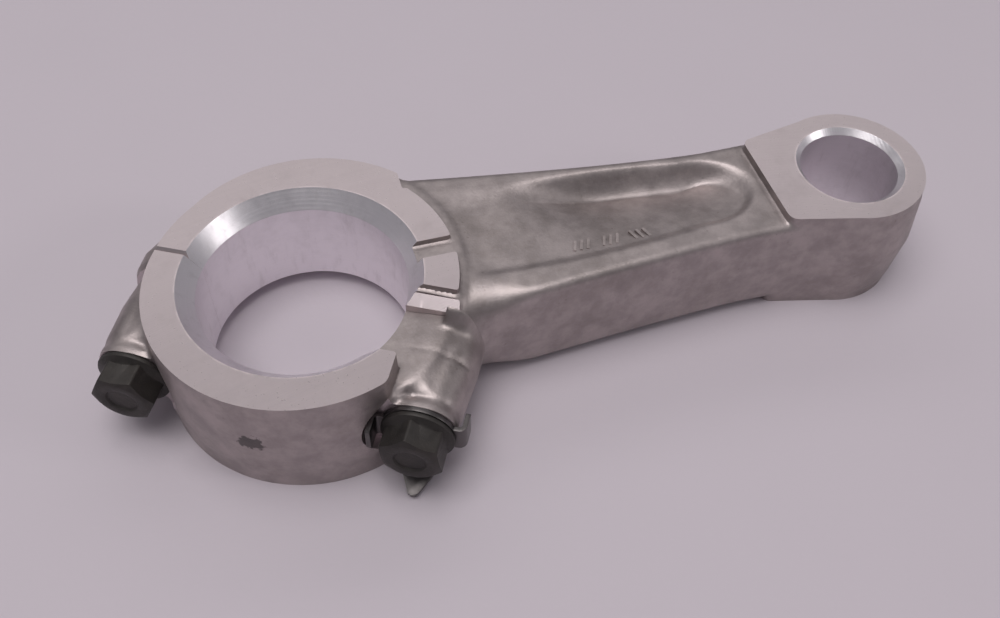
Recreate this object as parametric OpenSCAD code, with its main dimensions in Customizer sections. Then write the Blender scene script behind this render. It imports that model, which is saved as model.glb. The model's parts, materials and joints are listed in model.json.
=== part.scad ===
// Connecting rod of a small engine. An oblique split parts the big end into the rod's
// half and a cap, held by two screws, and a lock plate carries the oil splash tongue.
// Origin: centre of the crankpin bore, half way through the thickness.
// +X runs to the wrist pin bore, +Z along both bores. Millimetres.

/* [Rod] */
// Distance between the two bore centres
centre_distance = 100; // [96:1:110]
// Thickness across the machined side faces
thickness = 22.7; // [21.5:0.1:24]
// How far the cast surfaces lie below the machined side faces
land_step = 1.5; // [1:0.1:2]

/* [Big end] */
// Diameter of the crankpin bore
crank_bore_d = 35; // [33:0.5:36]
// Outer radius of the big end's side face
ring_r = 25.3; // [25:0.1:26]
// Radial width of the chamfer at the mouth of the crankpin bore
crank_chamfer = 2.6; // [1:0.1:3]
// Depth of the chamfer at the mouth of the crankpin bore
crank_chamfer_depth = 3.05; // [1:0.05:3.2]
// Angle of the split line to the rod's length
split_angle = -28; // [-32:1:-24]

/* [Small end] */
// Diameter of the wrist pin bore
wrist_bore_d = 17.5; // [15:0.5:18]
// Outer radius of the small end's side faces
eye_r = 13.5; // [13:0.1:14]
// How much wider the small end is in its middle plane than at its side faces
eye_draft = 1; // [0:0.1:1.2]
// Width and depth of the chamfer at the mouth of the wrist pin bore
wrist_chamfer = 1; // [0.5:0.1:1.5]

/* [Beam] */
// Distance of the narrow side's waist from the centre line
near_waist = 10.75; // [10:0.05:12]
// Distance of the wide side's waist from the centre line
far_waist = 12.1; // [11:0.1:13]
// Depth of the hollow in each face of the beam
scoop_depth = 3.6; // [2:0.1:4]
// Depth of the shallow basin around it
basin_depth = 0.5; // [0.2:0.1:1]

/* [Screws] */
// Distance of each screw from the crankpin centre, along the split
screw_offset = 24; // [24:0.1:24.5]
// Thread diameter of the screws
screw_d = 6.2; // [5.8:0.1:6.3]
// Length of the screws under the head
screw_length = 31; // [28:0.5:32]
// Diameter of the flange under the hexagon
flange_d = 12.2; // [11.5:0.1:12.4]
// Thickness of the flange
flange_h = 1.4; // [1:0.1:2]
// Size of the hexagon across its flats
hex_af = 9.5; // [8:0.1:10]
// Height of the hexagon above the flange
hex_h = 4.2; // [3:0.1:5]

/* [Cap] */
// Distance from the split to the faces that the screws bear on
seat_w = 17.2; // [16.5:0.1:18]
// Radius of the cap's screw bosses at the split
cap_boss_r = 6.8; // [6.6:0.1:7]
// Radius of the cap's screw bosses under the screw heads
cap_boss_end_r = 6.1; // [6.1:0.1:6.5]
// Radius of the rod's wide screw boss, on the far side
rod_boss_r = 7.7; // [7:0.1:8]

/* [Lock plate] */
// Thickness of the sheet
sheet = 0.8; // [0.6:0.1:1]
// Width of the two locking tabs
tab_w = 5; // [4:0.1:5.2]
// Length of the splash tongue beyond its bend
tongue_l = 6.4; // [4:0.1:6.6]

/* [Hidden] */
$fn = 96;
half = thickness / 2;
cast_half = half - land_step;      // cast surfaces, from the middle plane
arm_half = 6.8;                    // low shoulders that carry the cap's bosses
split_gap = 0.03;                  // between the two split faces
seat_gap = 0.03;                   // under a screw's flange
plate_gap = 0.02;                  // between the lock plate and its seat
thread_fit = 0.07;                 // radial, screw in its tapped hole
cap_hole_d = screw_d + 0.6;
plate_hole_d = screw_d + 0.4;
rod_boss_l = 12.5;                 // the rod's screw bosses, back from the split
far_boss_l = 4;                    // full width of the far one, before it tapers
far_boss_end_r = 5.4;
near_boss_r = 6;
tap_depth = 14.6;
tap_tip = 1.8;                     // cone that the drill leaves
tap_tip_d = 0.2;
spot_r = 8.4;                      // cutter that faces the screw seats
ring_grow = [2, 1.7];              // the far side face leans out by this much
notch_x = 20.5;                    // step in the far side face
notch_y = 18.6;
shoulder_r = 26;                   // side face between that step and the groove
shoulder_x = 18;
shoulder_y = 15.1;
groove_y = [-1.5, 2.1];            // oil groove across the side face
pad_end = 2;                       // the small pad stops this short of the split
near_bevel = 1.6;                  // bevels along the rod's split edge
far_bevel = 0.8;
bevel_u = 20.6;                    // they start just outside the bore's chamfer
waist_x = 0.76 * centre_distance;
root_x = 26;
eye_x = 0.94 * centre_distance;
far_root = 6.4;                    // how much each side widens to the big end
near_root = 3.1;
far_eye = 0.1;                     // and to the small end
near_eye = 1.4;
beam_steps = 18;
beam_near_end = 8;                 // the beam starts this far inside the big end's edge
beam_far_end = 4;
eye_edge = [                       // straight edge of the small end's side face
    [-16.6, -9.2], [-15.6, -10], [-2.5, -13.25], [0, 0],
    [-2.5, 13.25], [-15, 11.2], [-16.6, 10.3]];
basin = [                          // plan of the shallow basin
    [30, -7], [38.4, -7.8], [46, -8], [53, -7.8], [60, -7.3], [65.4, -6.6], [70, -6.1],
    [75.5, -5], [79.6, -3.4], [81.6, -0.9], [81.8, 2.5], [79.9, 6.1], [74.5, 8.6],
    [66.4, 9.9], [55.5, 11.1], [44.6, 11.8], [36.9, 12], [30, 12]];
scoop_r = [4.2, 4.4];              // the hollow's round ends, big end first
scoop_c = [[50, 6.9], [73, 3.6]];
cap_grow = 0.8;                    // the cap's side face is this much longer
cap_near_w = 11.4;                 // it ends short of the split on the near side
cap_near_u = 19.4;
arm_u = 12;                        // low arms that join the bosses to the cap
arm_w = 14;
screw_tip = 0.8;                   // chamfers and leads of the screws
flange_taper = 1.2;
hex_chamfer = 0.6;
plate_r = 6.2;                     // the lock plate's round body and its folds
fold_in = 7;
fold_in_h = 4;
fold_out_h = 2.2;
fold_tongue = 8.5;
tongue_lean = 105;
plate_fit = 0.35;                  // the folded tab clears the cap's boss by this
tongue_half = [4.4, 3.9, 0.8];     // half widths: at the body, at the bend, at the tip
big = 80;

// Half width of the beam at x: narrowest at the waist, wider to both ends
function beam_side(x, waist, root, eye) = waist
    + (x < waist_x ? root * pow((waist_x - x) / (waist_x - root_x), 1.3)
                   : eye * pow((x - waist_x) / (eye_x - waist_x), 2));
beam_xs = [for (i = [0 : beam_steps]) root_x + (eye_x - root_x) * i / beam_steps];

// x along the split, y towards the rod, so the cap lies at y < 0
module split_frame() rotate(split_angle) children();

// z along a screw, out of the rod; x away from the crankpin on the near side
module screw_frame(side)
    split_frame() translate([side * screw_offset, 0, 0]) rotate([90, 0, 0]) children();

module slab(h) linear_extrude(2 * h, center = true) children();

module beam_outline()
    polygon(concat(
        [[0, -ring_r + beam_near_end]],
        [for (x = beam_xs) [x, -beam_side(x, near_waist, near_root, near_eye)]],
        [[centre_distance, 0]],
        [for (i = [beam_steps : -1 : 0])
            [beam_xs[i], beam_side(beam_xs[i], far_waist, far_root, far_eye)]],
        [[0, ring_r - beam_far_end]]));

// Machined side face of the rod's big end, in plan
module rod_land() {
    circle(ring_r);
    difference() {
        translate(ring_grow) circle(ring_r);
        translate([notch_x, -big]) square([big, big + notch_y]);
    }
    intersection() {
        circle(shoulder_r);
        translate([shoulder_x, -big]) square([big, big + shoulder_y]);
    }
}

// The side face stops at the oil groove; a small pad stands between groove and split
module rod_land_trimmed() difference() {
    rod_land();
    translate([0, groove_y[0]]) square([big, groove_y[1] - groove_y[0]]);
    split_frame() translate([0, -big + pad_end]) square([big, big]);
    split_frame() translate([-big, -big]) square([2 * big, big]);
}

// Machined side face of the small end, with its straight edge across the beam
module eye_land() {
    translate([centre_distance, 0]) circle(eye_r);
    translate([centre_distance, 0]) polygon(eye_edge);
}

// Bore with a chamfer at each mouth
module bore(d, w, depth) {
    cylinder(d = d, h = 3 * half, center = true);
    for (m = [0, 1]) mirror([0, 0, m])
        translate([0, 0, half - depth])
            cylinder(r1 = d / 2, r2 = d / 2 + 2 * w, h = 2 * depth);
}

// Plan of the hollow in the beam: two circles and the strip between them
module scoop_outline() {
    for (i = [0, 1]) translate(scoop_c[i]) circle(scoop_r[i]);
    polygon([
        scoop_c[0] - [0, scoop_r[0]], scoop_c[1] - [0, scoop_r[1]],
        scoop_c[1] + [0, scoop_r[1]], scoop_c[0] + [0, scoop_r[0]]]);
}

// Square bar on edge that cuts a bevel of the given width
module bevel(w) rotate([45, 0, 0]) translate([0, -w * sqrt(0.5), -w * sqrt(0.5)])
    cube([big, w * sqrt(2), w * sqrt(2)]);

module rod() color([0.66, 0.61, 0.61]) difference() {
    union() {
        slab(cast_half) {
            circle(ring_r);
            beam_outline();
        }
        for (m = [0, 1]) mirror([0, 0, m]) translate([centre_distance, 0, 0])
            cylinder(r1 = eye_r + eye_draft, r2 = eye_r, h = half);
        slab(half) rod_land_trimmed();
        slab(half) eye_land();
        screw_frame(1) translate([0, 0, -rod_boss_l])
            cylinder(r = near_boss_r, h = rod_boss_l);
        screw_frame(-1) {
            translate([0, 0, -far_boss_l]) cylinder(r = rod_boss_r, h = far_boss_l);
            translate([0, 0, -rod_boss_l])
                cylinder(r1 = far_boss_end_r, r2 = rod_boss_r, h = rod_boss_l - far_boss_l);
        }
    }
    // Everything beyond the split
    split_frame() translate([-big, -2 * big, -big]) cube([2 * big, 2 * big, 2 * big]);
    // Bevel along the split edge, outside the bore's chamfer
    for (m = [0, 1]) mirror([0, 0, m]) split_frame() {
        translate([bevel_u, 0, cast_half]) bevel(near_bevel);
        translate([-bevel_u, 0, half]) rotate(180) bevel(far_bevel);
    }
    bore(crank_bore_d, crank_chamfer, crank_chamfer_depth);
    translate([centre_distance, 0, 0]) bore(wrist_bore_d, wrist_chamfer, wrist_chamfer);
    for (side = [-1, 1])
        screw_frame(side) {
            translate([0, 0, -tap_depth])
                cylinder(d = screw_d + 2 * thread_fit, h = 2 * tap_depth);
            translate([0, 0, -tap_depth - tap_tip])
                cylinder(d1 = tap_tip_d, d2 = screw_d + 2 * thread_fit, h = tap_tip);
        }
    for (m = [0, 1]) mirror([0, 0, m]) {
        translate([0, 0, cast_half - basin_depth]) linear_extrude(half) polygon(basin);
        translate([0, 0, cast_half - scoop_depth]) linear_extrude(half) scoop_outline();
    }
}

// Machined side face of the cap, in the split frame
module cap_land() difference() {
    union() {
        circle(ring_r);
        translate([0, -cap_grow]) circle(ring_r);
    }
    translate([0, -cap_near_w]) square([big, big]);
    translate([cap_near_u, -big]) square([big, 2 * big]);
}

module cap() color([0.68, 0.63, 0.63]) difference() {
    union() {
        split_frame() {
            slab(half) cap_land();
            slab(arm_half) {
                circle(ring_r);
                for (side = [-1, 1]) mirror([side < 0 ? 1 : 0, 0])
                    translate([arm_u, -arm_w]) square([screw_offset - arm_u, arm_w]);
            }
        }
        for (side = [-1, 1])
            screw_frame(side) cylinder(r1 = cap_boss_r, r2 = cap_boss_end_r, h = seat_w);
    }
    split_frame() translate([-big, -split_gap, -big]) cube([2 * big, 2 * big, 2 * big]);
    bore(crank_bore_d, crank_chamfer, crank_chamfer_depth);
    for (side = [-1, 1])
        screw_frame(side) {
            translate([0, 0, -1]) cylinder(d = cap_hole_d, h = seat_w + 2);
            translate([0, 0, seat_w]) cylinder(r = spot_r, h = seat_w);
        }
}

// Flanged hexagon screw whose flange bears at height w above the split
module screw(side, w) color([0.2, 0.19, 0.19]) screw_frame(side) translate([0, 0, w]) {
    top = flange_h + hex_h;
    translate([0, 0, -screw_length + screw_tip])
        cylinder(d = screw_d, h = screw_length - screw_tip);
    translate([0, 0, -screw_length])
        cylinder(d1 = screw_d - 2 * screw_tip, d2 = screw_d, h = screw_tip);
    cylinder(d1 = flange_d, d2 = flange_d - flange_taper, h = flange_h);
    intersection() {
        cylinder(d = hex_af / cos(30), h = top, $fn = 6);
        cylinder(d1 = hex_af + 2 * top + hex_chamfer, d2 = hex_af - hex_chamfer, h = top);
    }
}

module screw_near() screw(1, seat_w + plate_gap + sheet + seat_gap);
module screw_far() screw(-1, seat_w + seat_gap);

// Sheet washer under the near screw: one tab folded up against the cap, one folded
// back over the boss, and a pointed tongue bent outwards to throw oil
module lock_plate() color([0.62, 0.6, 0.62])
    screw_frame(1) translate([0, 0, seat_w + plate_gap]) {
        fold_out = cap_boss_end_r + plate_fit;
        linear_extrude(sheet) difference() {
            union() {
                circle(plate_r);
                translate([-fold_in - sheet, -tab_w / 2])
                    square([fold_in + fold_out + 2 * sheet, tab_w]);
                polygon([
                    [-tongue_half[0], -plate_r / 2], [-tongue_half[1], -fold_tongue],
                    [tongue_half[1], -fold_tongue], [tongue_half[0], -plate_r / 2]]);
            }
            circle(d = plate_hole_d);
        }
        translate([-fold_in - sheet, -tab_w / 2, 0]) cube([sheet, tab_w, fold_in_h]);
        translate([fold_out, -tab_w / 2, -fold_out_h])
            cube([sheet, tab_w, fold_out_h + sheet]);
        translate([0, sheet - fold_tongue, sheet / 4]) rotate([tongue_lean, 0, 0])
            linear_extrude(sheet) polygon([
                [-tongue_half[1], 0], [tongue_half[1], 0],
                [tongue_half[2], tongue_l], [-tongue_half[2], tongue_l]]);
    }

rod();
cap();
screw_near();
screw_far();
lock_plate();
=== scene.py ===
import json
import math

import bmesh
import bpy
import numpy as np
from bpy.props import FloatProperty, FloatVectorProperty, IntProperty, PointerProperty
from mathutils import Matrix, Vector


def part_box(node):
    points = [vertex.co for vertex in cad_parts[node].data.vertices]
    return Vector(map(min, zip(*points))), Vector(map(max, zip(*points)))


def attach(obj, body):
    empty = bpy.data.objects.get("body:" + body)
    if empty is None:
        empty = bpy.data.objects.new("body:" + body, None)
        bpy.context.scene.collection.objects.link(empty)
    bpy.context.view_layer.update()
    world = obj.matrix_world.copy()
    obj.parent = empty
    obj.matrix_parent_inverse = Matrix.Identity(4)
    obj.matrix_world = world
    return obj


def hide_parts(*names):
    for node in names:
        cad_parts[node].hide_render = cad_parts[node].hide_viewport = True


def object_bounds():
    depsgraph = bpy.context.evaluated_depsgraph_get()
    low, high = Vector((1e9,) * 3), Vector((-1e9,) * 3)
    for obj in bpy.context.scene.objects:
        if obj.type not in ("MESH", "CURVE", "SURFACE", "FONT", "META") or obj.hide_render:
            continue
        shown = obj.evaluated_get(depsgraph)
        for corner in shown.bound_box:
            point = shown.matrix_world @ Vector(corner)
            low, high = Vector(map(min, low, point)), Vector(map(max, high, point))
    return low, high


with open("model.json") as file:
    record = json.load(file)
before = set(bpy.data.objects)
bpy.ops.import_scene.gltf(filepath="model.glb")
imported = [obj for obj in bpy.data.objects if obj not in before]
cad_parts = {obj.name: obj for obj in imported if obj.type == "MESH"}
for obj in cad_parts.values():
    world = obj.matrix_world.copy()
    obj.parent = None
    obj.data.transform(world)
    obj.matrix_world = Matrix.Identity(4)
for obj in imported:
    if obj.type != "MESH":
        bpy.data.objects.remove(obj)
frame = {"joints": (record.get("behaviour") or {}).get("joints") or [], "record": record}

bl_info = {
    "name": "Connecting Rod",
    "version": (1, 0, 0),
    "blender": (4, 5, 0),
    "location": "View3D > Sidebar > Connecting Rod",
    "description": "Builds the castings, screws and lock plate of a small engine's connecting rod",
    "category": "Add Mesh",
}

# The shapes below are worked out in millimetres in the frame's own axes, and their meshes are
# scaled to metres at the end. x runs to the wrist pin, z along both bores. A second pair of plan
# axes follows the slanted split: u along it, w square to it, out of the rod and into the cap.
MM = 0.001
CAD_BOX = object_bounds()
MOUNTS = {m["name"]: m for m in frame["record"]["mounts"]}
JOINTS = {j["name"]: j for j in frame["joints"]}
CRANK_R = MOUNTS["crankpin_bore"]["dims"]["r_mm"]
WRIST_R = MOUNTS["wrist_pin_bore"]["dims"]["r_mm"]
CENTRES = MOUNTS["wrist_pin_bore"]["pos_m"][0] / MM
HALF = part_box("rod")[1].z / MM
CHAMFER_DEPTH = HALF - MOUNTS["crankpin_bore"]["dims"]["length_mm"] / 2
WRIST_CHAMFER = HALF - MOUNTS["wrist_pin_bore"]["dims"]["length_mm"] / 2
OUT = Vector(JOINTS["cap_slide"]["axis"])
ALONG = Vector((-OUT.y, OUT.x, 0))
SCREW_U = Vector(JOINTS["screw_near_turn"]["pos_m"]).dot(ALONG) / MM
SEAT_R, SHANK_R, TAP_R, TAP_MOUTH_R, TAP_TIP = 8.4, 3.4, 3.17, 3.6, 16.4
NEAR_BEVEL = (9.8, 1.35, 1.9)                # height it starts at, drop, width
FAR_BEVEL = (HALF, 0.85, 0.85)
INK_SPOT = (-0.0126, -0.0227, 0.0017)        # metres, on the front of the cap
STROKE_GROUPS, STROKE_Y, STROKE_GAP, STROKE_LEAN = (47.3, 52.6, 58.0), -3.9, 1.2, 20


def scene_settings():
    return bpy.context.scene.connecting_rod


# ---------------------------------------------------------------- settings

def length(name, text, default_mm):
    return FloatProperty(name=name, description=text, default=default_mm * MM, unit="LENGTH")


def colour(name, text, default):
    return FloatVectorProperty(name=name, description=text, default=default, subtype="COLOR",
                               min=0.0, max=1.0)


class CastingSettings(bpy.types.PropertyGroup):
    grid: length("Grid", "Spacing of the mesh that wraps the cast surfaces", 0.42)
    land_step: length("Land Step", "Height of the machined faces over the cast ones", 1.5)
    ring_radius: length("Ring Radius", "Outer radius of the big end", 25.3)
    chamfer: length("Chamfer", "Radial width of the crankpin bore's chamfer", 2.6)
    eye_radius: length("Eye Radius", "Outer radius of the small end at its faces", 13.5)
    eye_draft: length("Eye Draft", "Growth of the small end's radius at mid thickness", 1.0)
    scoop_depth: length("Scoop Depth", "Depth of the hollow at the beam's far side", 5.3)
    basin_depth: length("Basin Depth", "Depth of the hollow at the beam's near side", 0.5)
    rod_boss: length("Rod Boss", "Radius of the rod's wide screw boss", 7.7)
    cap_boss: length("Cap Boss", "Radius of the cap's screw bosses at the split", 6.8)
    seat: length("Seat", "Distance from the split to the screw seats", 17.2)
    shoulder: length("Shoulder", "Half height of the cap's low shoulders", 6.8)


class ScrewSettings(bpy.types.PropertyGroup):
    reach: length("Length", "Length under the head", 31.0)
    diameter: length("Diameter", "Outer diameter of the thread", 6.2)
    pitch: length("Pitch", "Distance between two threads", 0.907)
    thread: length("Threaded Length", "Length of the threaded part", 19.0)
    flange: length("Flange", "Diameter of the flange", 12.2)
    across: length("Across Flats", "Size of the hexagon", 9.5)
    head: length("Head", "Height of the whole head", 5.6)


class PlateSettings(bpy.types.PropertyGroup):
    sheet: length("Sheet", "Thickness of the plate", 0.8)
    radius: length("Radius", "Radius of the plate's round body", 6.2)
    hole: length("Hole", "Diameter of the screw hole", 6.6)
    tab: length("Tab", "Width of the two tabs", 5.0)
    tongue: length("Tongue", "Distance from the hole to the tongue's tip", 15.0)
    bend: length("Bend", "Radius of the folds at mid thickness", 0.9)


class FinishSettings(bpy.types.PropertyGroup):
    cast: colour("Cast", "Bare die-cast aluminium", (0.42, 0.37, 0.365))
    milled: colour("Milled", "Machined aluminium faces", (0.57, 0.5, 0.51))
    bore: colour("Bore", "Bored aluminium walls", (0.92, 0.875, 0.91))
    phosphate: colour("Phosphate", "Black coat of the screws", (0.042, 0.038, 0.036))
    steel: colour("Steel", "Oiled steel of the lock plate", (0.13, 0.12, 0.12))
    stain: colour("Stain", "Old oil on the castings", (0.20, 0.17, 0.15))


class StageSettings(bpy.types.PropertyGroup):
    floor: colour("Floor", "Pale table", (0.60, 0.542, 0.593))
    azimuth: FloatProperty(name="Azimuth", description="Camera's turn about the vertical",
                           default=math.radians(-17.85), subtype="ANGLE")
    elevation: FloatProperty(name="Elevation", description="Camera's height angle",
                             default=math.radians(51.93), subtype="ANGLE")
    roll: FloatProperty(name="Roll", description="Camera's tilt about its own view",
                        default=math.radians(1.99), subtype="ANGLE")
    target: FloatVectorProperty(name="Target", description="Point at the middle of the view",
                                default=(0.0294, -0.01526, HALF * MM), subtype="TRANSLATION")
    distance: length("Distance", "From the camera to the target", 165.08)
    focal: FloatProperty(name="Focal Length", description="Lens, in millimetres", default=37.24)


class RodSettings(bpy.types.PropertyGroup):
    casting: PointerProperty(type=CastingSettings)
    screw: PointerProperty(type=ScrewSettings)
    plate: PointerProperty(type=PlateSettings)
    finish: PointerProperty(type=FinishSettings)
    stage: PointerProperty(type=StageSettings)


# ---------------------------------------------------------------- cast shapes as fields

def soft_max(a, b, k):
    """The larger of two fields, rounded over a width of k where they meet."""
    h = np.maximum(k - np.abs(a - b), 0) / k
    return np.maximum(a, b) + h * h * k / 4


def soft_min(a, b, k):
    return -soft_max(-a, -b, k)


def rise(t):
    """Smooth step from 0 to 1 as t goes from 0 to 1."""
    t = np.clip(t, 0, 1)
    return t * t * (3 - 2 * t)


def round_at(x, y, cx, cy, r):
    return np.hypot(x - cx, y - cy) - r


def split_axes(x, y):
    return x * ALONG.x + y * ALONG.y, x * OUT.x + y * OUT.y


def beam_sides(x):
    """Distance of the beam's near and far sides from the centre line at x, at mid thickness."""
    waist, root, eye = 0.76 * CENTRES, 26.0, 0.94 * CENTRES
    back = np.clip((waist - x) / (waist - root), 0, None) ** 1.3
    ahead = np.clip((x - waist) / (eye - waist), 0, None) ** 2
    return 10.75 + 3.1 * back + 1.4 * ahead, 12.1 + 6.4 * back + 0.1 * ahead


def beam_top(x, y, c):
    """Height of the beam's cast face over the middle plane. Its hollow is shallow along the near
    side, deep under a steep wall on the far side, and ends in a half round before the eye."""
    end = 70.5
    flat = np.minimum(x, end)
    near, far = 0.0026 * (flat - 46) ** 2 - 8.0, 12.6 - 0.0023 * (flat - 34) ** 2
    half_width = (far - near) / 2
    across = (y - (near + far) / 2) / half_width
    inside = (1 - np.hypot(np.maximum(x - end, 0) / 11.3, across)) * half_width
    inside = soft_max(inside, 0, 0.7)
    steep = rise(across + 0.6)
    part = np.clip(inside / (2.2 + 1.5 * steep) / (1 - 0.35 * rise((x - 68) / 8)), 0, 1)
    ramp = rise(part) + (1 - (1 - part) ** 1.4 - rise(part)) * steep
    shallow, deep = c.basin_depth / MM, c.scoop_depth / MM
    deep = shallow + (deep - shallow) * rise((x - 34) / 22) * (1 - 0.4 * rise((x - 68) / 14))
    depth = shallow + (deep - shallow) * np.clip((across + 1) / 2, 0, 1) ** 1.3
    return HALF - c.land_step / MM - depth * ramp * rise((x - 26) / 6)


def rod_land(x, y, c):
    """Plan of the rod's machined big end face: a ring that leans out at the back, a step in its
    edge, an oil groove across it and a small pad before the split."""
    u, w = split_axes(x, y)
    ring = c.ring_radius / MM
    back = np.maximum(round_at(x, y, 2.0, 1.7, ring), np.minimum(x - 20.5, 18.6 - y))
    front = np.maximum(np.maximum(round_at(x, y, 0, 0, 26.0), 18 - x), y - 15.1)
    face = np.minimum(np.minimum(round_at(x, y, 0, 0, ring), back), front)
    groove = np.maximum(np.maximum(-1.5 - y, y - 2.1), -x)
    face = soft_max(face, -groove, 0.5)
    return soft_max(face, np.minimum(w + 2.55, u - 5), 0.5)


def eye_land(x, y, c):
    """Plan of the small end's machined face: round, with a straight edge across the beam."""
    dx = x - CENTRES
    wedge = soft_max(-16.6 - dx, (-y - 10.0 - 0.245 * (dx + 15.7)) / 1.03, 1.6)
    wedge = soft_max(wedge, (y - 11.0 - 0.17 * (dx + 15)) / 1.02, 1.6)
    return np.minimum(round_at(x, y, CENTRES, 0, c.eye_radius / MM), np.maximum(wedge, dx + 3))


def screw_boss(x, y, z, side, r, start, power=2.0):
    """Boss about a screw's axis, from w = start outwards; a higher power squares its section."""
    u, w = split_axes(x, y)
    off = (np.abs(u - side * SCREW_U) ** power + np.abs(z) ** power) ** (1 / power)
    return soft_max(off - r, np.maximum(start - w, w - 21), 1.6)


def rod_field(x, y, z, c):
    height = np.abs(z)
    lean = 0.022 * height
    cast = HALF - c.land_step / MM
    w = split_axes(x, y)[1]
    near, far = beam_sides(x)
    plan = np.maximum(-near - y + 0.06 * height, y - far + lean)
    plan = np.maximum(plan, np.maximum(8 - x, x - CENTRES))
    edge = 1.8 + 5.0 * (1 - rise((x - 26) / 12)) * rise((2 - y) / 8)
    beam = soft_max(plan, height - beam_top(x, y, c), edge)
    ring = c.ring_radius / MM
    back = np.minimum(round_at(x, y, 0, 0, ring), round_at(x, y, 2.0, 1.7, ring))
    body = soft_min(beam, soft_max(back + lean, height - cast, 1.2), 1.5)
    draft = c.eye_draft / MM * height / HALF
    eye = round_at(x, y, CENTRES, 0, (c.eye_radius + c.eye_draft) / MM) + draft
    body = soft_min(body, soft_max(eye, height - cast, 1.6), 1.5)
    wide = c.rod_boss / MM
    body = soft_min(body, screw_boss(x, y, z, 1, 6.0, -12.6), 2.6)
    taper = np.interp(w, (-12.5, -4, -1, 0), (5.4, wide, wide - 0.1, wide - 0.65))
    body = soft_min(body, screw_boss(x, y, z, -1, taper, -12.6), 2.0)
    top = HALF + 0.8
    body = soft_min(body, np.maximum(rod_land(x, y, c) + 0.4 * lean, height - top), 0.45)
    body = soft_min(body, np.maximum(eye_land(x, y, c) + 0.4 * lean, height - top), 0.45)
    return np.maximum(body, np.maximum(w - 2.5, y - CAD_BOX[1][1] / MM + 0.01))


def cap_land(u, w, c):
    """Plan of the cap's machined face, in the split's axes: it stops short on the near side."""
    ring = c.ring_radius / MM
    face = np.minimum(np.hypot(u, w) - ring, np.hypot(u, w - 0.8) - ring)
    face = soft_max(face, np.minimum(u - 5, 11.3 - w), 0.6)
    return soft_max(face, u - 19.4, 0.6)


def cap_field(x, y, z, c):
    height = np.abs(z)
    lean = 0.03 * height
    u, w = split_axes(x, y)
    low = c.shoulder / MM
    ring = np.minimum(np.hypot(u, w), np.hypot(u, w - 0.8)) - c.ring_radius / MM
    body = soft_max(ring + lean - 0.25, height - low, 1.0)
    arm = np.maximum(np.maximum(np.abs(u) - SCREW_U, 12 - np.abs(u)), w - 13.0)
    body = soft_min(body, soft_max(arm, height - low + 0.6, 1.6), 1.5)
    lump = soft_max(u - 29.6 + 0.5 * w + 0.06 * height, height - 10.2 + 4.0 * rise(w / 3), 5.0)
    lump = soft_max(lump, np.maximum(24.4 - u, w - 4), 0.8)
    body = soft_min(body, lump, 0.8)
    wide = c.cap_boss / MM
    for side, knots, sizes in ((1, (0, 5, 15, 17.2), (0, 0, -0.8, -0.8)),
                               (-1, (0, 2.5, 7.5, 15, 17.2), (-0.9, -0.7, -0.35, -0.6, -1.0))):
        r = wide + np.interp(w, knots, sizes) + 0.15 * rise((w - 15.9) / 0.4)
        inward = np.clip((SCREW_U - side * u) / 5, -0.5, 1)
        half_width = 0.6 + 0.25 * np.maximum(inward, 0)
        groove = np.exp(-(np.abs(w - 15.0) / half_width) ** 2) * rise((z + 1) / 4)
        step = np.exp(-((w - 7.1) / 0.35) ** 2) * rise((z - 3) / 2) * rise(u + 1)
        r = r - (0.35 + 0.35 * inward) * groove - 0.25 * step
        body = soft_min(body, screw_boss(x, y, z, side, r, -3.0, 2.4), 1.8)
    face = np.maximum(cap_land(u, w, c) + lean - 0.25, height - HALF - 0.8)
    body = soft_min(body, face, 0.5)
    return np.maximum(body, np.maximum(-2.5 - w, w - c.ring_radius / MM - 3))


EDGES = [(a, b) for a in range(8) for b in range(a + 1, 8) if bin(a ^ b).count("1") == 1]
CORNERS = np.array([[i >> 2 & 1, i >> 1 & 1, i & 1] for i in range(8)])


def onto(field, points, rounds):
    """Moves points along the field's slope until they lie where it is zero."""
    h = 0.02
    for _ in range(rounds):
        value = field(*points.T)
        slope = np.stack([field(*(points + d).T) - field(*(points - d).T)
                          for d in np.eye(3) * h], axis=1) / (2 * h)
        size = np.maximum((slope ** 2).sum(1), 0.05)
        move = np.clip(value / size, -0.3, 0.3)
        points = points - slope * move[:, None]
    return points


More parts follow.
